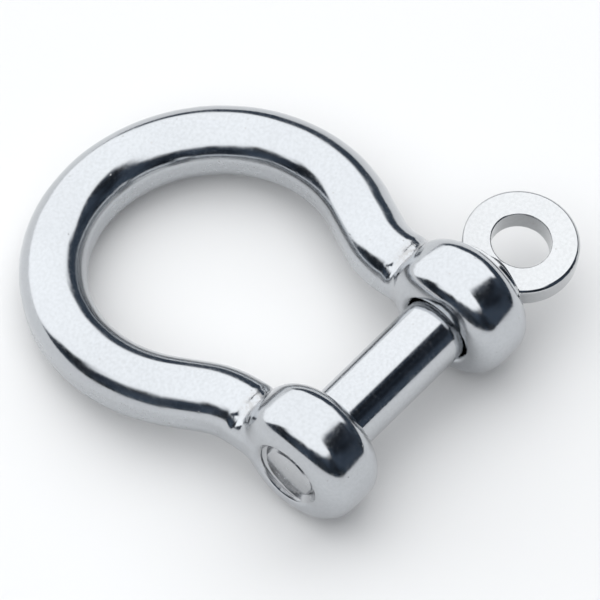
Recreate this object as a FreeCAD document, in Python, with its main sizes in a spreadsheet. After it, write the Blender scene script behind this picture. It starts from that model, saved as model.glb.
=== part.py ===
import FreeCAD, Part
import math
import os

import Sketcher

# A forged bow shackle for an 8 mm screw pin, in millimetres.
# The pin's axis is X, with the ring head at +X. The bow lies in the XY plane with its crown
# towards +Y, and Z is up. The origin is the middle of the jaw on the pin's axis.
#
# The bow is one forging: a bent round bar that ends in a plain eye at +X and a threaded eye
# at -X. The pin is one piece too. It is built as three nodes, because the tree of joints
# wants a body for each joint: the ring head and the threaded end turn, and the smooth round
# shank, on which a turn can't be seen, only travels with them.

SIZES = [
    ("PinDiameter", 8.0, "smooth part of the pin, the shackle's nominal size"),
    ("BarDiameter", 8.0, "round bar of the bow"),
    ("InsideWidth", 28.2, "widest place inside the bow"),
    ("JawWidth", 17.0, "between the inner faces of the two eyes"),
    ("EyeThickness", 8.6, "along the pin"),
    ("EyeDiameter", 16.0, "outside of each eye"),
    ("EyeRounding", 2.7, "radius between an eye's flat face and its rim"),
    ("LegOffset", 0.4, "bar's centre line outside the middle of the eye"),
    ("LegRoot", 5.5, "bar's lower end, above the pin's axis and inside the eye"),
    ("LegStart", 9.5, "height above the pin's axis where the leg begins to bend"),
    ("BendRadius", 10.2, "outward bend of the leg, on the centre line"),
    ("LegStraight", 4.5, "slanting straight length of the leg"),
    ("PinClearance", 0.25, "radial gap between the shank and the plain hole"),
    ("PlainBevel", 0.5, "bevel of the plain hole at both faces"),
    ("Countersink", 0.35, "flat of the threaded hole's countersink outside the thread"),
    ("ThreadPitch", 1.25, "right-hand thread, one turn"),
    ("ThreadGap", 0.05, "radial gap at each crest and each root, axial gap at each flank"),
    ("TipRecess", 0.45, "pin's end below the outer face of the threaded eye"),
    ("TipBevel", 0.9, "cone at the pin's end"),
    ("ReliefLength", 1.0, "plain neck between the thread and the shank"),
    ("ShoulderGap", 0.2, "between the shank's end and the threaded eye"),
    ("ShankBevel", 0.3, "edge of the shank beside the relief"),
    ("SeatGap", 0.05, "between the pin's collar and the plain eye"),
    ("CollarDiameter", 10.0, "bears on the plain eye"),
    ("CollarLength", 0.5, "before the collar tapers into the ring"),
    ("RingDiameter", 13.4, "outside of the ring head"),
    ("RingHole", 6.9, "for a key, a spike or a lanyard"),
    ("RingThickness", 3.0, "flat ring"),
    ("RingBevel", 0.2, "edges of the ring"),
    ("RingReach", 6.3, "ring's centre beyond the plain eye's outer face"),
    ("RingTurn", 12.0, "degrees that the tightened ring stands from the bow's plane"),
]

PITCH_DROP = 0.32476  # pitch line below the major radius, in pitches
THREAD_DEPTH = 0.54127  # depth of a metric thread, in pitches
FLANK_ANGLE = 30.0  # degrees between a flank and the thread's radial line
OVERSHOOT = 1.0  # how far a cut runs past the metal
SKIM = 0.1  # how far a thread's profile runs past the crests
CENTRE = 3  # Sketcher's number for an arc's centre

# Lengths that follow from the sizes, as expressions over the sheet.
INNER_FACE = "(Sizes.JawWidth / 2)"
OUTER_FACE = f"({INNER_FACE} + Sizes.EyeThickness)"
LEG_LINE = f"({INNER_FACE} + Sizes.EyeThickness / 2 + Sizes.LegOffset)"
EYE_RADIUS = "(Sizes.EyeDiameter / 2)"
PIN_RADIUS = "(Sizes.PinDiameter / 2)"
SEAT = f"({OUTER_FACE} + Sizes.SeatGap)"
SHANK_END = f"({INNER_FACE} - Sizes.ShoulderGap)"
RING_CENTRE = f"({OUTER_FACE} + Sizes.RingReach)"

# The leg runs up from the eye, bends outwards and meets the crown's arc on a straight length.
CROWN_RADIUS = "((Sizes.InsideWidth + Sizes.BarDiameter) / 2)"
BEND_CENTRE = f"({LEG_LINE} + Sizes.BendRadius)"
BOTH_RADII = f"({CROWN_RADIUS} + Sizes.BendRadius)"
REACH = f"hypot({BOTH_RADII}; Sizes.LegStraight)"
SLANT = f"(acos({BEND_CENTRE} / {REACH}) - atan2(Sizes.LegStraight; {BOTH_RADII}))"
CROWN_HEIGHT = (
    f"(Sizes.LegStart + {BOTH_RADII} * sin({SLANT}) + Sizes.LegStraight * cos({SLANT}))"
)

# Radii of the metric thread, and half its groove's width at the pitch line.
PITCH_LINE = f"({PIN_RADIUS} - {PITCH_DROP} * Sizes.ThreadPitch)"
HOLE_CREST = f"({PIN_RADIUS} - {THREAD_DEPTH} * Sizes.ThreadPitch + Sizes.ThreadGap)"
HOLE_ROOT = f"({PIN_RADIUS} + Sizes.ThreadGap)"
PIN_CREST = f"({PIN_RADIUS} - Sizes.ThreadGap)"
PIN_ROOT = f"({PIN_RADIUS} - {THREAD_DEPTH} * Sizes.ThreadPitch - Sizes.ThreadGap)"
RELIEF = f"({PIN_ROOT} - Sizes.ThreadGap)"
HALF_GROOVE = "(Sizes.ThreadPitch / 4 + Sizes.ThreadGap / 2)"


def make_sheet(doc):
    """The driving sizes, one row each: name, value, meaning."""
    sheet = doc.addObject("Spreadsheet::Sheet", "Sizes")
    for row, (name, size, meaning) in enumerate(SIZES, start=1):
        sheet.set(f"A{row}", name)
        sheet.set(f"B{row}", str(size))
        sheet.set(f"C{row}", meaning)
        sheet.setAlias(f"B{row}", name)
    doc.recompute()


def value(owner, expression):
    """What an expression over the sheet comes to."""
    return float(owner.evalExpression(expression))


def new_body(doc, name):
    body = doc.addObject("PartDesign::Body", name)
    body.Label = name
    return body


def new_sketch(body, name, role="XY_Plane"):
    """An empty sketch on one of the body's own origin planes."""
    plane = next(p for p in body.Origin.OriginFeatures if p.Role == role)
    sketch = body.newObject("Sketcher::SketchObject", name)
    sketch.AttachmentSupport = [(plane, "")]
    sketch.MapMode = "FlatFace"
    return sketch


def hold(sketch, element, point, corner, axes="XY"):
    """Tie a point's coordinates, measured from the sketch's origin, to expressions."""
    for axis in axes:
        length = corner["XY".index(axis)]
        rule = Sketcher.Constraint("Distance" + axis, -1, 1, element, point, value(sketch, length))
        number = sketch.addConstraint(rule)
        sketch.setExpression(f"Constraints[{number}]", length)


def draw(sketch, corners, arcs, closed=True):
    """An outline through corners, which are pairs of expressions.

    arcs maps the number of a side to its centre and to whether it runs clockwise. The other
    sides are straight. Each corner is held by both coordinates, and each arc by one more,
    of its centre, across its chord.
    """
    points = [FreeCAD.Vector(value(sketch, x), value(sketch, y), 0) for x, y in corners]
    following = points[1:] + points[:1]
    count = len(corners) if closed else len(corners) - 1
    sides = []
    for side in range(count):
        first, last = points[side], following[side]
        if side not in arcs:
            sides.append((sketch.addGeometry(Part.LineSegment(first, last), False), 1, 2))
            continue
        centre, clockwise = arcs[side]
        middle = FreeCAD.Vector(value(sketch, centre[0]), value(sketch, centre[1]), 0)
        circle = Part.Circle(middle, FreeCAD.Vector(0, 0, 1), (first - middle).Length)
        ends = (last, first) if clockwise else (first, last)
        angles = [math.atan2(end.y - middle.y, end.x - middle.x) for end in ends]
        arc = sketch.addGeometry(Part.ArcOfCircle(circle, *angles), False)
        sides.append((arc, 2, 1) if clockwise else (arc, 1, 2))
    for side, (element, start, end) in enumerate(sides):
        hold(sketch, element, start, corners[side])
        if closed or side + 1 < count:
            other, its_start, _ = sides[(side + 1) % count]
            joint = Sketcher.Constraint("Coincident", element, end, other, its_start)
            sketch.addConstraint(joint)
    if not closed:
        hold(sketch, sides[-1][0], sides[-1][2], corners[-1])
    for side, (centre, _) in arcs.items():
        chord = following[side] - points[side]
        across = "X" if abs(chord.y) > abs(chord.x) else "Y"
        hold(sketch, sides[side][0], CENTRE, centre, across)


def mirrored(outline):
    """The same outline at -X. Its arcs run the other way."""
    corners, arcs = outline
    flipped = {n: ((f"-{x}", y), not clockwise) for n, ((x, y), clockwise) in arcs.items()}
    return [(f"-{x}", y) for x, y in corners], flipped


def about_x(body, kind, name, outlines):
    """A Revolution or a Groove about the pin's axis, from closed outlines drawn above it."""
    sketch = new_sketch(body, f"{name}Profile")
    for corners, arcs in outlines:
        draw(sketch, corners, arcs)
    made = body.newObject(f"PartDesign::{kind}", name)
    made.Profile = sketch
    made.ReferenceAxis = (sketch, ["H_Axis"])
    made.Angle = 360
    body.Document.recompute()
    return made


def screw_cut(body, name, start, length, radii, half_widths):
    """Cut a right-hand V groove about the pin's axis, from start, length along +X."""
    sketch = new_sketch(body, f"{name}Profile")
    near, far = radii
    near_half, far_half = half_widths
    corners = [
        (f"({start} - {near_half})", near),
        (f"({start} + {near_half})", near),
        (f"({start} + {far_half})", far),
        (f"({start} - {far_half})", far),
    ]
    draw(sketch, corners, {})
    groove = body.newObject("PartDesign::SubtractiveHelix", name)
    groove.Profile = sketch
    groove.ReferenceAxis = (sketch, ["H_Axis"])
    groove.Mode = "pitch-height-angle"
    groove.setExpression("Pitch", "Sizes.ThreadPitch")
    groove.setExpression("Height", length)
    body.Document.recompute()
    return groove


def widths(radii, root_is_outside):
    """Half the V groove's width at each of two radii, as expressions."""
    sign = "-" if root_is_outside else "+"
    return [
        f"({HALF_GROOVE} {sign} ({radius} - {PITCH_LINE}) * tan({FLANK_ANGLE}deg))"
        for radius in radii
    ]


def make_bow(doc):
    body = new_body(doc, "bow")
    bend_end = (
        f"({BEND_CENTRE} - Sizes.BendRadius * cos({SLANT}))",
        f"(Sizes.LegStart + Sizes.BendRadius * sin({SLANT}))",
    )
    crown_end = (
        f"({CROWN_RADIUS} * cos({SLANT}))",
        f"({CROWN_HEIGHT} - {CROWN_RADIUS} * sin({SLANT}))",
    )
    leg = [(LEG_LINE, "Sizes.LegRoot"), (LEG_LINE, "Sizes.LegStart"), bend_end, crown_end]
    other_leg = [(f"-{x}", y) for x, y in leg]
    path = new_sketch(body, "BarPath")
    arcs = {
        1: ((f"-{BEND_CENTRE}", "Sizes.LegStart"), False),
        3: (("0 * 1mm", CROWN_HEIGHT), True),
        5: ((BEND_CENTRE, "Sizes.LegStart"), False),
    }
    draw(path, other_leg + leg[::-1], arcs, closed=False)

    section = new_sketch(body, "BarSection", "XZ_Plane")
    section.setExpression("AttachmentOffset.Base.z", "-Sizes.LegRoot")
    middle = FreeCAD.Vector(-value(body, LEG_LINE), 0, 0)
    round_bar = Part.Circle(middle, FreeCAD.Vector(0, 0, 1), value(body, "Sizes.BarDiameter") / 2)
    circle = section.addGeometry(round_bar, False)
    section.addConstraint(Sketcher.Constraint("PointOnObject", circle, CENTRE, -1))
    hold(section, circle, CENTRE, (f"-{LEG_LINE}", ""), "X")
    rule = Sketcher.Constraint("Diameter", circle, value(body, "Sizes.BarDiameter"))
    number = section.addConstraint(rule)
    section.setExpression(f"Constraints[{number}]", "Sizes.BarDiameter")
    doc.recompute()

    bar = body.newObject("PartDesign::AdditivePipe", "Bar")
    bar.Profile = section
    bar.Spine = (path, [f"Edge{n + 1}" for n in range(path.GeometryCount)])
    doc.recompute()

    flat = f"({EYE_RADIUS} - Sizes.EyeRounding)"
    inner_turn = f"({INNER_FACE} + Sizes.EyeRounding)"
    outer_turn = f"({OUTER_FACE} - Sizes.EyeRounding)"
    eye = (
        [
            (INNER_FACE, "0"),
            (INNER_FACE, flat),
            (inner_turn, EYE_RADIUS),
            (outer_turn, EYE_RADIUS),
            (OUTER_FACE, flat),
            (OUTER_FACE, "0"),
        ],
        {1: ((inner_turn, flat), True), 3: ((outer_turn, flat), True)},
    )
    about_x(body, "Revolution", "Eyes", [eye, mirrored(eye)])

    plain = hole_outline(f"({PIN_RADIUS} + Sizes.PinClearance)", "Sizes.PlainBevel")
    cone = f"({HOLE_ROOT} + Sizes.Countersink - {HOLE_CREST})"
    threaded = mirrored(hole_outline(HOLE_CREST, cone))
    about_x(body, "Groove", "Holes", [plain, threaded])

    radii = (f"({HOLE_CREST} - {SKIM})", HOLE_ROOT)
    start = f"(-{OUTER_FACE} - Sizes.ThreadPitch)"
    length = "(Sizes.EyeThickness + 2 * Sizes.ThreadPitch)"
    screw_cut(body, "HoleThread", start, length, radii, widths(radii, root_is_outside=True))
    return body


def hole_outline(radius, bevel):
    """Half the section of a hole through the eye at +X, with a 45 degree bevel at each face."""
    wide = f"({radius} + {bevel} + {OVERSHOOT})"
    corners = [
        (f"({INNER_FACE} - {OVERSHOOT})", "0"),
        (f"({INNER_FACE} - {OVERSHOOT})", wide),
        (f"({INNER_FACE} + {bevel})", radius),
        (f"({OUTER_FACE} - {bevel})", radius),
        (f"({OUTER_FACE} + {OVERSHOOT})", wide),
        (f"({OUTER_FACE} + {OVERSHOOT})", "0"),
    ]
    return corners, {}


def make_shank(doc):
    body = new_body(doc, "pin_shank")
    corners = [
        (f"-{SHANK_END}", "0"),
        (f"-{SHANK_END}", f"({PIN_RADIUS} - Sizes.ShankBevel)"),
        (f"(Sizes.ShankBevel - {SHANK_END})", PIN_RADIUS),
        (SEAT, PIN_RADIUS),
        (SEAT, "0"),
    ]
    about_x(body, "Revolution", "Shank", [(corners, {})])
    return body


def make_thread(doc):
    """The threaded end, from a plain neck at the shank to the bevelled tip at -X."""
    body = new_body(doc, "pin_thread")
    tip = f"({OUTER_FACE} - Sizes.TipRecess)"
    neck = f"({SHANK_END} + Sizes.ReliefLength)"
    corners = [
        (f"-{tip}", "0"),
        (f"-{tip}", f"({PIN_CREST} - Sizes.TipBevel)"),
        (f"(Sizes.TipBevel - {tip})", PIN_CREST),
        (f"(-{neck} - {PIN_CREST} + {RELIEF})", PIN_CREST),
        (f"-{neck}", RELIEF),
        (f"-{SHANK_END}", RELIEF),
        (f"-{SHANK_END}", "0"),
    ]
    about_x(body, "Revolution", "ThreadBlank", [(corners, {})])
    radii = (PIN_ROOT, f"({PIN_CREST} + {SKIM})")
    start = f"(-{OUTER_FACE} - Sizes.ThreadPitch / 2)"
    length = f"({OUTER_FACE} + Sizes.ThreadPitch / 2 - {SHANK_END} - Sizes.ReliefLength / 2)"
    screw_cut(body, "PinThread", start, length, radii, widths(radii, root_is_outside=False))
    return body


def make_ring(doc):
    """The flat ring head, with the collar that bears on the plain eye."""
    body = new_body(doc, "pin_ring")
    inside, outside = "Sizes.RingHole / 2", "Sizes.RingDiameter / 2"
    half, bevel = "Sizes.RingThickness / 2", "Sizes.RingBevel"
    section = [
        (f"({RING_CENTRE} + {inside} + {bevel})", f"-{half}"),
        (f"({RING_CENTRE} + {outside} - {bevel})", f"-{half}"),
        (f"({RING_CENTRE} + {outside})", f"({bevel} - {half})"),
        (f"({RING_CENTRE} + {outside})", f"({half} - {bevel})"),
        (f"({RING_CENTRE} + {outside} - {bevel})", half),
        (f"({RING_CENTRE} + {inside} + {bevel})", half),
        (f"({RING_CENTRE} + {inside})", f"({half} - {bevel})"),
        (f"({RING_CENTRE} + {inside})", f"({bevel} - {half})"),
    ]
    sketch = new_sketch(body, "RingSection", "XZ_Plane")
    draw(sketch, section, {})
    low = FreeCAD.Vector(value(body, RING_CENTRE), 0, 0)
    axis = sketch.addGeometry(Part.LineSegment(low, low + FreeCAD.Vector(0, 1, 0)), True)
    hold(sketch, axis, 1, (RING_CENTRE, "0 * 1mm"))
    hold(sketch, axis, 2, (RING_CENTRE, "1mm"))
    ring = body.newObject("PartDesign::Revolution", "Ring")
    ring.Profile = sketch
    ring.ReferenceAxis = (sketch, ["Axis0"])
    ring.Angle = 360
    doc.recompute()

    beyond = f"({RING_CENTRE} - {outside} - {OVERSHOOT})"
    trim = [(beyond, "0"), (beyond, outside), (SEAT, outside), (SEAT, "0")]
    about_x(body, "Groove", "SeatFace", [(trim, {})])

    taper_end = f"({RING_CENTRE} - {inside} - 2 * {bevel})"
    collar = [
        (SEAT, "0"),
        (SEAT, "Sizes.CollarDiameter / 2"),
        (f"({SEAT} + Sizes.CollarLength)", "Sizes.CollarDiameter / 2"),
        (taper_end, f"({half} - {bevel})"),
        (taper_end, "0"),
    ]
    about_x(body, "Revolution", "Collar", [(collar, {})])
    turn = value(body, "Sizes.RingTurn")
    body.Placement = FreeCAD.Placement(
        FreeCAD.Vector(), FreeCAD.Rotation(FreeCAD.Vector(1, 0, 0), turn)
    )
    body.setExpression("Placement.Rotation.Angle", "Sizes.RingTurn * 1deg")
    return body


def check(doc, bodies):
    """Stop on any failed feature or bad solid."""
    failed = [o.Name for o in doc.Objects if {"Invalid", "Error"} & set(o.State)]
    if failed:
        raise RuntimeError(f"failed: {', '.join(failed)}")
    for body in bodies:
        shape = body.Shape
        if shape.isNull() or not shape.isValid() or len(shape.Solids) != 1:
            raise RuntimeError(f"{body.Label} is not one valid solid")
        box = shape.BoundBox
        print(
            f"{body.Label}: {shape.Volume:.1f} mm3, x {box.XMin:.2f} to {box.XMax:.2f}, "
            f"y {box.YMin:.2f} to {box.YMax:.2f}, z {box.ZMin:.2f} to {box.ZMax:.2f}"
        )


def main():
    doc = FreeCAD.newDocument("BowShackle")
    make_sheet(doc)
    bodies = [make(doc) for make in (make_bow, make_shank, make_thread, make_ring)]
    doc.recompute()
    check(doc, bodies)
    os.makedirs("parts", exist_ok=True)
    for body in bodies:
        body.Shape.exportStep(f"parts/{body.Label}.step")


main()
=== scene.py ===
# %% [markdown]
# # A polished bow shackle with a screw pin
# A bow shackle is a forged steel loop that is closed by a pin. The pin slides
# through a plain eye, screws into a threaded eye, and carries a flat ring for a
# key or a lashing. The lesson builds smooth meshes on top of the CAD part and
# gives them the look of polished stainless steel.

# %% Frame and its bounds
import math
import bmesh
import bpy
import numpy as np
from mathutils import Matrix, Vector


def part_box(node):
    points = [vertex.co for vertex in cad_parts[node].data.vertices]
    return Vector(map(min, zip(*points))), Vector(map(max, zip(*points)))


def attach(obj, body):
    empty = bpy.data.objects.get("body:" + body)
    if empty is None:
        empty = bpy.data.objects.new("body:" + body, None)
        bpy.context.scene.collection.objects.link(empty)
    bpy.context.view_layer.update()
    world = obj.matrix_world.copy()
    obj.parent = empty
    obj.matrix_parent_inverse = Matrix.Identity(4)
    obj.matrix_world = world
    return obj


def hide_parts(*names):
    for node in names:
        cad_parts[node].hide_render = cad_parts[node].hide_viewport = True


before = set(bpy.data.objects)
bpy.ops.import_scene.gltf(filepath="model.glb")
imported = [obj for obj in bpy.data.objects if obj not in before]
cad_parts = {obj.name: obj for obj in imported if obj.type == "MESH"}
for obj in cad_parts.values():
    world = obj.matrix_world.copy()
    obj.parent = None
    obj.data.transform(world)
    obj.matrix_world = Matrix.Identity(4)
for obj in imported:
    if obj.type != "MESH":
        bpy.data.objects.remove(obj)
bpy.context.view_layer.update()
scene = bpy.context.scene
MM = 0.001
print("nodes:", sorted(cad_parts))

# %% [markdown]
# ## Sizes from the part
# The CAD boxes say where every piece ends, so most sizes are read from them.
# The rest are the few that a box cannot show, such as the radius of a bend.
# Everything is kept in millimetres here and scaled down when a mesh is made.

# %% Sizes in millimetres
BOW_LOW, BOW_HIGH = [Vector(c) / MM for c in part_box("bow")]
SHANK_LOW, SHANK_HIGH = [Vector(c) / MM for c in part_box("pin_shank")]
THREAD_LOW, THREAD_HIGH = [Vector(c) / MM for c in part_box("pin_thread")]
RING_LOW, RING_HIGH = [Vector(c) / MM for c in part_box("pin_ring")]
BAR_R = 4.0
EYE_R = BOW_HIGH.z
OUTER_FACE = SHANK_HIGH.x - 0.05
EYE_THICK = 8.6
EYE_MID = OUTER_FACE - EYE_THICK / 2
EYE_ROUND = 2.7
CROWN_R = BOW_HIGH.x - BAR_R
CROWN_Y = BOW_HIGH.y - BAR_R - CROWN_R
LEG_X = EYE_MID + 0.4
LEG_LOW, LEG_HIGH = 5.5, 9.5
BEND_R = 10.2
STRAIGHT = 4.5
HOLE_R = 4.25
BORE_R = 4.1
COUNTERSINK_R = 4.4
PITCH = 1.25
print("eye middle", round(EYE_MID, 2), "crown centre", round(CROWN_Y, 2), "crown radius", round(CROWN_R, 2))

# %% [markdown]
# ## Meshes from a distance field
# A forging has no sharp joins: the bar flows into the eyes. A signed distance
# field describes that well, because two shapes blend by mixing their distances.
# The field is sampled on a grid, a vertex is put in each cell that the surface
# crosses, and the vertices are then slid onto the exact surface. The field's
# gradient gives the shading normals, so a mirror finish shows no facets.

# %% Field helpers
def blend(a, b, width):
    """Union of two distances, rounded over the given width."""
    share = np.clip(0.5 + 0.5 * (b - a) / width, 0, 1)
    return b * (1 - share) + a * share - width * share * (1 - share)


def cut(a, b, width):
    """Distance a with shape b removed, its rim rounded over the given width."""
    return -blend(-a, b, width)


def rounded(q1, q2, radius):
    """Box distance in two directions with rounded corners."""
    a = q1 + radius
    b = q2 + radius
    outside = np.hypot(np.maximum(a, 0), np.maximum(b, 0))
    return outside + np.minimum(np.maximum(a, b), 0) - radius


def bevelled(q1, q2, bevel):
    """Box distance in two directions with a flat bevel on its corners."""
    flat = (q1 + q2 + bevel) / math.sqrt(2)
    corner_off = -blend(-q1, -flat, 0.12)
    return -blend(-q2, -corner_off, 0.12)


def gradient(field, p):
    """Slope of the field at each point, by central differences."""
    step = 1e-3
    out = np.empty_like(p)
    for axis in range(3):
        shift = np.zeros(3)
        shift[axis] = step
        out[:, axis] = (field(p + shift) - field(p - shift)) / (2 * step)
    return out


def settle(field, p, rounds=3):
    """Slides points along the slope until they lie on the surface."""
    for _ in range(rounds):
        slope = gradient(field, p)
        size = np.maximum((slope * slope).sum(1), 0.05)
        p = p - slope * (field(p) / size)[:, None]
    return p


print("two touching shapes gain", round(-float(blend(0.0, 0.0, 1.0)), 2), "mm at a 1 mm blend")

# %% [markdown]
# ## From grid to surface
# Marching cubes would be the usual way, but it leaves thin slivers that show in a
# mirror. One vertex per cell gives even quads instead.

# %% Grid to surface
def skin(field, low, high, step):
    """Vertices and outward quads of the field's zero surface."""
    axes = [np.arange(a, b + step, step) for a, b in zip(low, high)]
    grid = np.stack(np.meshgrid(*axes, indexing="ij"), -1)
    value = field(grid.reshape(-1, 3)).reshape(grid.shape[:3])
    cells = tuple(n - 1 for n in value.shape)
    total = np.zeros(cells + (3,))
    count = np.zeros(cells)
    crossings = []
    for axis in range(3):
        first = [slice(None)] * 3
        last = [slice(None)] * 3
        first[axis] = slice(0, -1)
        last[axis] = slice(1, None)
        a = value[tuple(first)]
        b = value[tuple(last)]
        crossed = (a < 0) != (b < 0)
        crossings.append((crossed, a < 0))
        along = np.where(crossed, a / np.where(crossed, a - b, 1), 0)
        point = grid[tuple(first)].copy()
        point[..., axis] += along * step
        point *= crossed[..., None]
        u, v = [n for n in range(3) if n != axis]
        for du in (0, 1):
            for dv in (0, 1):
                part = [slice(None)] * 3
                part[u] = slice(du, du + cells[u])
                part[v] = slice(dv, dv + cells[v])
                total += point[tuple(part)]
                count += crossed[tuple(part)]
    active = count > 0
    index = np.full(cells, -1)
    index[active] = np.arange(active.sum())
    vertices = total[active] / count[active][:, None]
    faces = []
    for axis in range(3):
        crossed, from_inside = crossings[axis]
        u, v = (axis + 1) % 3, (axis + 2) % 3
        spot = np.argwhere(crossed)
        keep = (spot[:, u] > 0) & (spot[:, v] > 0) & (spot[:, u] < cells[u]) & (spot[:, v] < cells[v])
        spot = spot[keep]
        corners = []
        for du, dv in ((1, 1), (0, 1), (0, 0), (1, 0)):
            cell = spot.copy()
            cell[:, u] -= du
            cell[:, v] -= dv
            corners.append(index[cell[:, 0], cell[:, 1], cell[:, 2]])
        quad = np.stack(corners, 1)
        outward = from_inside[spot[:, 0], spot[:, 1], spot[:, 2]]
        quad[~outward] = quad[~outward][:, ::-1]
        faces.append(quad)
    return vertices, np.concatenate(faces)


# %% Even quads and mesh objects
def relaxed(field, vertices, faces, rounds=5):
    """Evens out the quads, then puts the vertices back on the surface."""
    a = faces.ravel()
    b = np.roll(faces, -1, axis=1).ravel()
    for _ in range(rounds):
        total = np.zeros_like(vertices)
        count = np.zeros(len(vertices))
        np.add.at(total, a, vertices[b])
        np.add.at(total, b, vertices[a])
        np.add.at(count, a, 1)
        np.add.at(count, b, 1)
        vertices = 0.5 * vertices + 0.5 * total / count[:, None]
        vertices = settle(field, vertices, 1)
    return settle(field, vertices, 3)


def make_object(name, vertices, faces, normals=None):
    """A smooth mesh object at the origin, from millimetres."""
    mesh = bpy.data.meshes.new(name)
    corners = [list(face) for face in faces]
    mesh.from_pydata((np.asarray(vertices) * MM).tolist(), [], corners)
    mesh.update()
    mesh.shade_smooth()
    if normals is not None:
        mesh.normals_split_custom_set_from_vertices(normals.tolist())
    obj = bpy.data.objects.new(name, mesh)
    scene.collection.objects.link(obj)
    print(name, len(mesh.vertices), "vertices", len(mesh.polygons), "faces")
    return obj


def from_field(name, field, low, high, step):
    """Grid, surface, even quads and exact normals, all from one field."""
    vertices, faces = skin(field, low, high, step)
    vertices = relaxed(field, vertices, faces)
    slope = gradient(field, vertices)
    slope /= np.linalg.norm(slope, axis=1)[:, None]
    return make_object(name, vertices, faces, slope)


# %% [markdown]
# ## The forged bow
# The bow starts as a round bar that is bent, then its ends are upset into thick
# eyes in a die and the whole forging is polished. Its centre line is a short
# straight leg, a bend outward, a straight part and the big crown arc. The flash
# that squeezes out between the dies is trimmed off, which leaves a narrow flat
# along each side of the bar, and the die leaves a shallow groove where a leg
# runs into its eye. The polish follows a surface that is never quite
# true, so the field carries a very shallow waviness, which is what makes the
# reflections of real forgings wander.

# %% Centre line of the bow
HALF_SPAN = LEG_X + BEND_R
ARCS = CROWN_R + BEND_R
SLANT = math.acos(HALF_SPAN / math.hypot(ARCS, STRAIGHT)) - math.atan2(STRAIGHT, ARCS)
BEND_END = np.array([HALF_SPAN - BEND_R * math.cos(SLANT), LEG_HIGH + BEND_R * math.sin(SLANT)])
HEADING = np.array([math.sin(SLANT), math.cos(SLANT)])


def to_arc(x, y, cx, cy, radius, middle, half):
    """Distance in the plane to an arc, given by its middle direction and half angle."""
    dx, dy = x - cx, y - cy
    along = dx * math.cos(middle) + dy * math.sin(middle)
    across = -dx * math.sin(middle) + dy * math.cos(middle)
    turn = np.clip(np.arctan2(across, along), -half, half)
    return np.hypot(along - radius * np.cos(turn), across - radius * np.sin(turn))


def centre_line(x, y):
    """Distance in the plane to the bow's centre line."""
    x = np.abs(x)
    leg = np.hypot(x - LEG_X, y - np.clip(y, LEG_LOW, LEG_HIGH))
    bend = to_arc(x, y, HALF_SPAN, LEG_HIGH, BEND_R, math.pi - SLANT / 2, SLANT / 2)
    t = (x - BEND_END[0]) * HEADING[0] + (y - BEND_END[1]) * HEADING[1]
    t = np.clip(t, 0, STRAIGHT)
    side = np.hypot(x - BEND_END[0] - t * HEADING[0], y - BEND_END[1] - t * HEADING[1])
    crown = to_arc(x, y, 0, CROWN_Y, CROWN_R, math.pi / 4 - SLANT / 2, math.pi / 4 + SLANT / 2)
    return np.minimum(np.minimum(leg, bend), np.minimum(side, crown))


print("slant of the straight part", round(math.degrees(SLANT), 2), "degrees")


# %% Bow field
def waviness(p):
    """Hundredths of a millimetre of slow unevenness, always inward."""
    x, y, z = p.T
    a = np.sin(x * 0.9 + 1.3 * np.sin(y * 0.41)) * np.sin(y * 0.73 + 0.9 * np.sin(z * 0.8))
    b = np.sin(x * 0.37 - y * 0.51 + 2.0) * np.sin(z * 0.9 + x * 0.3)
    return 0.012 * (2 + a + b)


SIDE_TRIM = BAR_R - 0.12
EYE_CROWN = 0.5
EYE_BLEND = 0.6
GROOVE_R = 0.3
GROOVE_ROUND = 0.65
GROOVE_TOP = 2.9
RAGGED = 0.02
PLAIN_CHAMFER = 0.45
RIM_ROUND = 0.25
BOW_GRID = 0.3


def bow_field(p):
    """Distance to the forging: bar and eyes, less the grooves and the two holes."""
    x, y, z = p.T
    bar = np.hypot(centre_line(x, y), z) - BAR_R
    spread = np.hypot(y, z)
    off_middle = np.abs(np.abs(x) - EYE_MID)
    crowned = EYE_R - EYE_CROWN * (off_middle / EYE_THICK * 2) ** 2
    eye = rounded(off_middle - EYE_THICK / 2, spread - crowned, EYE_ROUND)
    bar = cut(bar, SIDE_TRIM - centre_line(x, y), 0.1)
    body = blend(bar, eye, EYE_BLEND) + waviness(p)
    seam = np.hypot((spread - EYE_R - 0.3) * 0.8, bar) + np.maximum(GROOVE_TOP - np.abs(z), 0) * 0.35
    ragged = RAGGED * np.sin(2.3 * x + 1.0)
    body = cut(body, seam - GROOVE_R - ragged, GROOVE_ROUND)
    depth = OUTER_FACE - np.abs(x)
    edge = np.minimum(depth, EYE_THICK - depth)
    plain = spread - HOLE_R - np.maximum(PLAIN_CHAMFER - edge, 0)
    sunk = spread - np.maximum(BORE_R, COUNTERSINK_R - edge)
    return cut(body, np.where(x > 0, plain, sunk), RIM_ROUND)


# %% Bow mesh
margin = Vector((1, 1, 1))
bow = from_field("bow_forging", bow_field, BOW_LOW - margin, BOW_HIGH + margin, BOW_GRID)

# %% [markdown]
# ## The ring head
# The head is a flat ring, punched and deburred, so its edges are crisp with a
# thin bevel, wider outside than in the hole. A short round collar joins it to the
# pin. The ring sits a little turned about the pin, at the angle at which the
# thread happens to stop.

# %% Ring field and mesh
RING_CENTRE = 23.4
RING_R = 6.7
RING_HOLE = 3.45
RING_HALF = 1.5
RING_TURN = math.radians(12)
COLLAR_START = RING_LOW.x + 0.02
COLLAR_R = 5.0
COLLAR_LENGTH = 2.3
COLLAR_LAND = 0.5
COLLAR_TAPER = 1.95
OUTER_BEVEL = 0.34
INNER_BEVEL = 0.12
RING_GRID = 0.14


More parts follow.
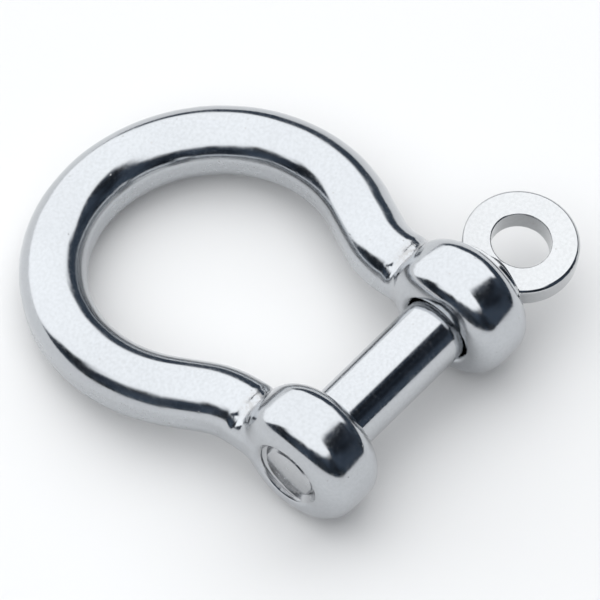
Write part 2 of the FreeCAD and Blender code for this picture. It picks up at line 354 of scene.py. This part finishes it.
def ring_field(p):
    """Distance to the ring and its collar, cut off flat where the shank begins."""
    x, y, z = p.T
    v = y * math.cos(RING_TURN) + z * math.sin(RING_TURN)
    w = z * math.cos(RING_TURN) - y * math.sin(RING_TURN)
    radius = np.hypot(x - RING_CENTRE, v)
    width = (RING_R - RING_HOLE) / 2
    middle = (RING_R + RING_HOLE) / 2
    bevel = np.where(radius > middle, OUTER_BEVEL, INNER_BEVEL)
    ring = bevelled(np.abs(radius - middle) - width, np.abs(w) - RING_HALF, bevel)
    around = np.hypot(y, z)
    cone = (around - COLLAR_R + np.maximum(x - COLLAR_START - COLLAR_LAND, 0) * COLLAR_TAPER) / 2.0
    collar = np.maximum(cone, np.maximum(COLLAR_START - x, x - COLLAR_START - COLLAR_LENGTH))
    collar = np.maximum(collar, around - COLLAR_R)
    return np.maximum(blend(ring, collar, 0.35), COLLAR_START - x)


ring = from_field("ring_head", ring_field, RING_LOW - margin * 0.7, RING_HIGH + margin * 0.7, RING_GRID)

# %% [markdown]
# ## The plain part of the pin
# The shank is turned on a lathe, so its mesh is a profile spun round the pin's
# axis. Small arcs at the ends stand for the broken edges.

# %% Shank mesh
def lathe(name, profile, steps=256):
    """Spins (x, radius) points round the X axis; both ends lie on the axis."""
    rings = profile[1:-1]
    angle = np.arange(steps) * 2 * math.pi / steps
    vertices = [(profile[0][0], 0.0, 0.0)]
    for x, radius in rings:
        vertices += [(x, radius * math.cos(a), radius * math.sin(a)) for a in angle]
    vertices.append((profile[-1][0], 0.0, 0.0))
    faces = []
    for i in range(steps):
        faces.append((0, 1 + (i + 1) % steps, 1 + i))
    for r in range(len(rings) - 1):
        for i in range(steps):
            a = 1 + r * steps + i
            b = 1 + r * steps + (i + 1) % steps
            faces.append((a, b, b + steps, a + steps))
    start = 1 + (len(rings) - 1) * steps
    for i in range(steps):
        faces.append((start + i, start + (i + 1) % steps, len(vertices) - 1))
    obj = make_object(name, vertices, faces)
    obj.data.set_sharp_from_angle(angle=math.radians(32))
    return obj


def corner(x, radius, size, before):
    """Arc points of a rounded outer edge, before or after a cylinder."""
    points = []
    for i in range(6):
        a = math.pi / 2 * i / 5
        if before:
            points.append((x + size - size * math.cos(a), radius - size + size * math.sin(a)))
        else:
            points.append((x - size + size * math.sin(a), radius - size + size * math.cos(a)))
    return points


TIP_ROUND = 0.3
HEAD_ROUND = 0.08
shank_profile = [(SHANK_LOW.x, 0)]
shank_profile += corner(SHANK_LOW.x, BAR_R, TIP_ROUND, True)
shank_profile += [(x, BAR_R) for x in np.linspace(SHANK_LOW.x + 0.5, SHANK_HIGH.x - 0.2, 40)]
shank_profile += corner(SHANK_HIGH.x, BAR_R, HEAD_ROUND, False)
shank_profile += [(SHANK_HIGH.x, 0)]
shank = lathe("pin_plain", shank_profile)

# %% [markdown]
# ## Node trees written as expressions
# Both the threads and the steel need a lot of small sums. A thin class wraps a
# socket, so that adding or multiplying two of them makes the Math node and its
# links. One method makes every other kind of node.

# %% Expression helper
class Value:
    """A float socket that understands arithmetic."""

    def __init__(self, tree, socket):
        self.tree = tree
        self.socket = socket

    def maths(self, operation, *others, swap=False):
        values = [self] + list(others)
        if swap:
            values.reverse()
        node = add(self.tree, "ShaderNodeMath", {"operation": operation}, dict(enumerate(values)))
        return Value(self.tree, node.outputs[0])

    def __add__(self, other):
        return self.maths("ADD", other)

    def __sub__(self, other):
        return self.maths("SUBTRACT", other)

    def __rsub__(self, other):
        return self.maths("SUBTRACT", other, swap=True)

    def __mul__(self, other):
        return self.maths("MULTIPLY", other)

    def __truediv__(self, other):
        return self.maths("DIVIDE", other)

    __radd__ = __add__
    __rmul__ = __mul__

    def low(self, other):
        return self.maths("MINIMUM", other)

    def size(self):
        return self.maths("ABSOLUTE")

    def fade(self, start, end):
        """0 up to start, 1 from end, smooth between."""
        settings = {"interpolation_type": "SMOOTHSTEP"}
        sockets = {"Value": self, "From Min": start, "From Max": end}
        node = add(self.tree, "ShaderNodeMapRange", settings, sockets)
        return Value(self.tree, node.outputs["Result"])


def plug(tree, socket, value):
    """Links a socket or a Value, or writes a plain number or colour."""
    if isinstance(value, Value):
        tree.links.new(value.socket, socket)
    elif isinstance(value, bpy.types.NodeSocket):
        tree.links.new(value, socket)
    else:
        socket.default_value = value


def add(tree, kind, settings=None, sockets=None):
    """Makes a node: settings first, then its sockets by name or number."""
    node = tree.nodes.new(kind)
    for key, value in (settings or {}).items():
        setattr(node, key, value)
    for key, value in (sockets or {}).items():
        plug(tree, node.inputs[key], value)
    return node


def parts(tree, vector):
    """The X, Y and Z of a vector as Values."""
    node = add(tree, "ShaderNodeSeparateXYZ", None, {"Vector": vector})
    return [Value(tree, socket) for socket in node.outputs]


def noise(tree, place, scale, detail):
    """Soft random values between 0 and 1 at a given number of features per metre."""
    sockets = {"Vector": place, "Scale": scale, "Detail": detail}
    return Value(tree, add(tree, "ShaderNodeTexNoise", None, sockets).outputs[0])


def mixed(tree, share, first, second):
    """The first colour where share is 0 and the second where it is 1."""
    node = add(tree, "ShaderNodeMix", {"data_type": "RGBA"}, {0: share, 6: first, 7: second})
    return node.outputs[2]


# %% [markdown]
# ## Polished stainless steel
# Stainless steel is a metal with a pale, slightly cool grey. A polished surface
# is almost a mirror, yet never evenly so: buffing leaves hair-fine lines, the
# corners that the wheel cannot reach stay rough and carry painted shade, and
# handling adds small marks.
# All of it is driven by the object's own coordinates, at its real scale.

# %% Steel material
def steel(name, tint, shine, lines, forged=None):
    """A polished steel. lines is the stretch of the buffing marks per axis."""
    material = bpy.data.materials.new(name)
    material.use_nodes = True
    tree = material.node_tree
    tree.nodes.clear()
    place = add(tree, "ShaderNodeTexCoord").outputs["Object"]
    stretch = add(tree, "ShaderNodeVectorMath", {"operation": "MULTIPLY"}, {0: place, 1: lines})
    buffing = noise(tree, stretch.outputs[0], 1.0, 5.0)
    clouds = noise(tree, place, 190.0, 3.0)
    grain = noise(tree, place, 2600.0, 4.0)
    deep = noise(tree, place, 60.0, 2.0)
    cells = add(tree, "ShaderNodeTexVoronoi", None, {"Vector": place, "Scale": 620.0})
    specks = Value(tree, cells.outputs["Distance"])
    pits = 1.0 - specks.fade(0.03, 0.09)
    smear = clouds.fade(0.42, 0.72)
    rough = shine + buffing.fade(0.45, 0.8) * 0.06 + smear * 0.05
    rough = rough + grain.fade(0.45, 0.75) * 0.07 + pits * 0.12
    height = buffing * 0.5 + grain * 0.25 - pits * 1.5
    pit_deposits_and_painted_shade = pits * 0.25
    if forged:
        groove_dull_and_painted_shade, trimmed, streaks = forged(tree, place, grain)
        rough = rough + groove_dull_and_painted_shade * 0.3 + trimmed * 0.1
        height = height - groove_dull_and_painted_shade * 1.2 + trimmed * streaks * 2.5
        # The groove mask also darkens the colour toward brown: painted shade in the crease, on top of the
        # dirt in the pits.
        pit_deposits_and_painted_shade = groove_dull_and_painted_shade * 0.4 + pit_deposits_and_painted_shade
    shade = (deep.fade(0.3, 0.75) * 0.45 + grain.fade(0.3, 0.7) * 0.55).low(1.0)
    dark = [c * 0.88 for c in tint] + [1.0]
    pale = mixed(tree, shade, dark, list(tint) + [1.0])
    # Brown mix for the dirt in the pits and, on the bow, the painted shade in the groove.
    stained_and_painted_shade = mixed(tree, pit_deposits_and_painted_shade.low(1.0), pale, (0.30, 0.26, 0.22, 1.0))
    bump = add(tree, "ShaderNodeBump", None, {"Strength": 0.35, "Distance": 0.00002, "Height": height})
    surface = add(tree, "ShaderNodeBsdfPrincipled", None, {
        "Metallic": 1.0,
        "Base Color": stained_and_painted_shade,
        "Roughness": rough,
        "Normal": bump.outputs[0],
    })
    add(tree, "ShaderNodeOutputMaterial", None, {"Surface": surface.outputs[0]})
    return material


# %% [markdown]
# ## Marks of the forging, and painted shade in its grooves
# Only the bow carries these marks. Buffing cannot reach the groove where a leg
# meets its eye, so that stays rough, and its colour is darkened as painted shade
# for the crease. The trimmed flats keep fine streaks.

# %% Forging marks and painted groove shade
def forging_marks_and_painted_shade(tree, place, grain):
    """Masks for the rough grooves, which also carry painted shade, and the trimmed flats, and the streaks
    on the flats.
    """
    x, y, z = parts(tree, place)
    near = 1.0 - (y - 7.3 * MM).size().fade(0.3 * MM, 1.5 * MM)
    # Groove mask: rougher where the wheel cannot reach, and its colour darkened as painted shade in the
    # crease.
    groove_dull_and_painted_shade = near * z.size().fade(2.6 * MM, 4.2 * MM) * grain.fade(0.35, 0.6)
    trimmed = (1.0 - z.size().fade(0.8 * MM, 1.4 * MM)) * y.fade(8.0 * MM, 9.5 * MM)
    sockets = {0: place, 1: (90.0, 90.0, 5200.0)}
    pulled = add(tree, "ShaderNodeVectorMath", {"operation": "MULTIPLY"}, sockets)
    streaks = noise(tree, pulled.outputs[0], 1.0, 3.0)
    return groove_dull_and_painted_shade, trimmed, streaks


BOW_STEEL = steel("bow polished steel", (0.54, 0.558, 0.58), 0.11, (420.0, 420.0, 900.0), forging_marks_and_painted_shade)
PIN_STEEL = steel("pin polished steel", (0.55, 0.567, 0.588), 0.09, (2400.0, 260.0, 260.0))
RING_STEEL = steel("ring polished steel", (0.56, 0.57, 0.58), 0.09, (900.0, 1500.0, 900.0))
THREAD_STEEL = steel("thread steel", (0.52, 0.53, 0.545), 0.2, (900.0, 900.0, 900.0))
print("nodes in the bow's steel", len(BOW_STEEL.node_tree.nodes))

# %% [markdown]
# ## Threads with Geometry Nodes
# A thread follows a rule: its radius depends only on how far along the pitch a
# point is once the turn is taken off. One tree bends a flat grid into that
# shape. The same tree makes the pin's thread and the lining of the threaded eye,
# with other numbers in its inputs.

# %% Thread tree
THREAD_INPUTS = ["Start", "End", "Crest", "Root", "Pitch", "Phase", "Cone radius", "Cone slope", "Sign"]


def thread_tree():
    """Grid rows run along X and its columns run round the axis, in millimetres."""
    tree = bpy.data.node_groups.new("screw thread", "GeometryNodeTree")
    for name in THREAD_INPUTS:
        tree.interface.new_socket(name, in_out="INPUT", socket_type="NodeSocketFloat")
    tree.interface.new_socket("Material", in_out="INPUT", socket_type="NodeSocketMaterial")
    tree.interface.new_socket("Geometry", in_out="OUTPUT", socket_type="NodeSocketGeometry")
    group = add(tree, "NodeGroupInput")
    size = {name: Value(tree, group.outputs[name]) for name in THREAD_INPUTS}
    sockets = {"Size X": 1.0, "Size Y": 1.0, "Vertices X": 321, "Vertices Y": 193}
    grid = add(tree, "GeometryNodeMeshGrid", None, sockets)
    place = add(tree, "GeometryNodeInputPosition").outputs[0]
    u, v, _ = parts(tree, place)
    u = u + 0.5
    turn = (v + 0.5) * (2 * math.pi)
    x = size["Start"] + u * (size["End"] - size["Start"])
    step = (x - size["Phase"]) / size["Pitch"] - (v + 0.5)
    saw = (step.maths("FRACT") - 0.5).size() * 2.0
    flank = saw.fade(0.16, 0.86)
    radius = size["Root"] + flank * (size["Crest"] - size["Root"])
    to_end = (x - size["Start"]).low(size["End"] - x)
    cone = size["Cone radius"] + to_end * size["Cone slope"]
    tip = (radius * size["Sign"]).low(cone * size["Sign"]) * size["Sign"]
    away = {0: x * MM, 1: tip * turn.maths("COSINE") * MM, 2: tip * turn.maths("SINE") * MM}
    spot = add(tree, "ShaderNodeCombineXYZ", None, away)
    sockets = {"Geometry": grid.outputs[0], "Position": spot.outputs[0]}
    moved = add(tree, "GeometryNodeSetPosition", None, sockets)
    sockets = {"Geometry": moved.outputs[0], "Distance": 1e-6}
    welded = add(tree, "GeometryNodeMergeByDistance", None, sockets)
    real = add(tree, "GeometryNodeRealizeInstances", None, {"Geometry": welded.outputs[0]})
    smooth = add(tree, "GeometryNodeSetShadeSmooth", None, {"Geometry": real.outputs[0]})
    sockets = {"Geometry": smooth.outputs[0], "Material": group.outputs["Material"]}
    coat = add(tree, "GeometryNodeSetMaterial", None, sockets)
    add(tree, "NodeGroupOutput", None, {"Geometry": coat.outputs[0]})
    return tree


THREAD_TREE = thread_tree()
print("nodes in the thread tree", len(THREAD_TREE.nodes))


# %% Run the tree
def thread_piece(name, material, values):
    """Runs the tree once and keeps its result as a plain mesh, open at both ends."""
    holder = bpy.data.objects.new(name + "_maker", bpy.data.meshes.new(name + "_maker"))
    scene.collection.objects.link(holder)
    modifier = holder.modifiers.new("thread", "NODES")
    modifier.node_group = THREAD_TREE
    items = THREAD_TREE.interface.items_tree
    ids = {item.name: item.identifier for item in items if item.in_out == "INPUT"}
    for key, value in values.items():
        modifier[ids[key]] = float(value)
    modifier[ids["Material"]] = material
    graph = bpy.context.evaluated_depsgraph_get()
    graph.update()
    mesh = bpy.data.meshes.new_from_object(holder.evaluated_get(graph))
    bpy.data.objects.remove(holder)
    mesh.name = name
    obj = bpy.data.objects.new(name, mesh)
    scene.collection.objects.link(obj)
    print(name, len(mesh.vertices), "vertices", len(mesh.polygons), "faces")
    return obj


# %% [markdown]
# ## Closing the threads
# The bent grid is a tube that is open at both ends, and a solid piece must be
# closed. The pin's thread gets a flat cap at each end. The lining of the eye gets
# an outer wall that is buried in the bow.

# %% Close the threads
def close_up(obj, outer=None):
    """Caps both open rims, or joins them by an outer wall, and points faces outward."""
    bm = bmesh.new()
    bm.from_mesh(obj.data)
    rims = [e for e in bm.edges if e.is_boundary]
    if outer is None:
        for x in {round(e.verts[0].co.x, 6) for e in rims}:
            rim = [e for e in rims if round(e.verts[0].co.x, 6) == x]
            bmesh.ops.contextual_create(bm, geom=rim)
    else:
        made = bmesh.ops.extrude_edge_only(bm, edges=rims)
        fresh = [g for g in made["geom"] if isinstance(g, bmesh.types.BMVert)]
        for vert in fresh:
            around = math.hypot(vert.co.y, vert.co.z)
            vert.co.y *= outer * MM / around
            vert.co.z *= outer * MM / around
        loose = [e for e in bm.edges if e.is_boundary]
        bmesh.ops.bridge_loops(bm, edges=loose)
    bmesh.ops.recalc_face_normals(bm, faces=bm.faces)
    bm.to_mesh(obj.data)
    bm.free()
    obj.data.shade_smooth()
    obj.data.set_sharp_from_angle(angle=math.radians(50))
    return obj


pin_thread = thread_piece("pin_screw", THREAD_STEEL, {
    "Start": THREAD_LOW.x, "End": THREAD_HIGH.x - 0.02, "Crest": 3.95, "Root": 3.273, "Pitch": PITCH,
    "Phase": -17.725, "Cone radius": 3.05, "Cone slope": 1.0, "Sign": 1.0,
})
close_up(pin_thread)
lining = thread_piece("eye_thread", THREAD_STEEL, {
    "Start": -OUTER_FACE + 0.27, "End": -OUTER_FACE + EYE_THICK - 0.27, "Crest": 3.373, "Root": 4.05,
    "Pitch": PITCH, "Phase": -18.35, "Cone radius": 4.13, "Cone slope": -1.0, "Sign": -1.0,
})
close_up(lining, outer=4.5)

# %% [markdown]
# ## Putting the pieces on their bodies
# Each piece takes the place of its CAD node, rides with that node's body and
# carries a steel material of its own, so a game or a simulation moves it.

# %% Ride and slots
def finish_piece(obj, body, material, replaced=None):
    """Steel, body and slot for one piece, and the CAD node that it stands for."""
    obj.data.materials.clear()
    obj.data.materials.append(material)
    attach(obj, body)
    if replaced:
        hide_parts(replaced)
    print(obj.name, "rides", body)


finish_piece(bow, "bow", BOW_STEEL, "bow")
finish_piece(lining, "bow", THREAD_STEEL)
finish_piece(shank, "shank", PIN_STEEL, "pin_shank")
finish_piece(pin_thread, "turning_pin", THREAD_STEEL, "pin_thread")
finish_piece(ring, "turning_pin", RING_STEEL, "pin_ring")

# %% [markdown]
# ## Floor and light
# The shackle lies as it does on a table, on its two eyes and the middle of the
# crown, so the floor is a plane through those three places and not level with
# the part's own axes. A mirror only shows what is round it, so the sky matters
# more than the lamps: a white ceiling, a pale wall behind and a dark room on the
# side of the viewer.

# %% Floor
REST = math.atan2(EYE_R - BAR_R, CROWN_Y + CROWN_R)
down = Vector((0, math.sin(REST), -math.cos(REST)))
floor_mesh = bpy.data.meshes.new("floor")
reach = 0.9
FLOOR_GAP = 1.012
touch = down * EYE_R * MM * FLOOR_GAP
east = Vector((1, 0, 0))
north = Vector((0, math.cos(REST), math.sin(REST)))
spots = [touch + east * a * reach + north * b * reach for a, b in ((-1, -1), (1, -1), (1, 1), (-1, 1))]
floor_mesh.from_pydata([tuple(s) for s in spots], [], [(0, 1, 2, 3)])
floor = bpy.data.objects.new("floor", floor_mesh)
scene.collection.objects.link(floor)
paper = bpy.data.materials.new("white paper")
paper.use_nodes = True
sheet = paper.node_tree.nodes["Principled BSDF"]
sheet.inputs["Base Color"].default_value = (0.74, 0.74, 0.74, 1)
sheet.inputs["Roughness"].default_value = 0.9
sheet.inputs["Emission Color"].default_value = (1, 1, 1, 1)
sheet.inputs["Emission Strength"].default_value = 0.04
floor_mesh.materials.append(paper)
print("floor tilt", round(math.degrees(REST), 2), "degrees")

# %% [markdown]
# ## The room round the shackle
# The sky is white above a wandering edge, and nearly black with a touch of blue
# below it. The edge is high on the viewer's side and toward the ring, and low
# behind the bow. These dark stretches draw the bands along the bar and the pin.

# %% Sky
world = bpy.data.worlds.new("studio")
scene.world = world
world.use_nodes = True
sky = world.node_tree
sky.nodes.clear()
direction = add(sky, "ShaderNodeTexCoord").outputs["Generated"]
dx, dy, dz = parts(sky, direction)
toward = dx * -0.678 + dy * -0.735
side = toward.fade(-0.35, 0.12)
patch = noise(sky, direction, 2.6, 2.0)
top_of_dark = side * (dx.fade(-0.2, 0.4) * 0.36 + 0.47) + dx.fade(0.35, 0.85) * 0.38 + 0.08
lumps = noise(sky, direction, 7.0, 1.0)
above = dz - top_of_dark + (patch - 0.5) * 0.2 + (lumps - 0.5) * 0.14
amount = above.fade(-0.07, 0.07)
haze = (patch.fade(0.35, 0.7) * 0.05 + 0.012) * side + (1.0 - side) * 0.05
dark = add(sky, "ShaderNodeCombineXYZ", None, {0: haze, 1: haze * 1.35, 2: haze * 1.9})
colour = mixed(sky, amount, dark.outputs[0], (1.62, 1.64, 1.66, 1))
glow = add(sky, "ShaderNodeBackground", None, {"Color": colour, "Strength": 1.0})
add(sky, "ShaderNodeOutputWorld", None, {"Surface": glow.outputs[0]})
print("sky nodes", len(sky.nodes))

# %% [markdown]
# ## A soft lamp for the paper
# One large lamp overhead lights the paper. The steel does not mirror it, because
# its square outline would look like a window.

# %% Lamp
lamp = bpy.data.lights.new("softbox", "AREA")
lamp.shape = "SQUARE"
lamp.size = 0.7
lamp.energy = 0.9
lamp_object = bpy.data.objects.new("softbox", lamp)
lamp_object.location = (0.15, 0.2, 0.8)
lamp_object.visible_glossy = False
lamp_object.rotation_euler = Vector(lamp_object.location).to_track_quat("Z", "Y").to_euler()
scene.collection.objects.link(lamp_object)
print("lamp of", round(lamp.energy, 2), "W")

# %% [markdown]
# ## Camera
# A long lens from nearly a metre away keeps the loop almost free of perspective.
# It looks down from the threaded eye's corner, and is rolled a little.

# %% Camera
DISTANCE = 0.9
AZIMUTH, ELEVATION, ROLL = math.radians(227.3), math.radians(52.455), math.radians(-7.63)
TARGET = Vector((2.405, 14.852, 0)) * MM
level = math.cos(ELEVATION)
forward = -Vector((level * math.cos(AZIMUTH), level * math.sin(AZIMUTH), math.sin(ELEVATION)))
right = forward.cross(Vector((0, 0, 1))).normalized()
up = right.cross(forward)
right_rolled = right * math.cos(ROLL) + up * math.sin(ROLL)
up_rolled = up * math.cos(ROLL) - right * math.sin(ROLL)
lens = bpy.data.cameras.new("camera")
lens.sensor_width = 36
lens.lens = 478.4
lens.clip_start = 0.05
camera = bpy.data.objects.new("camera", lens)
turn = Matrix((right_rolled, up_rolled, -forward)).transposed()
camera.matrix_world = Matrix.Translation(TARGET - forward * DISTANCE) @ turn.to_4x4()
scene.collection.objects.link(camera)
scene.camera = camera
scene.view_settings.view_transform = "Standard"
print("camera at", [round(c, 4) for c in camera.matrix_world.translation])
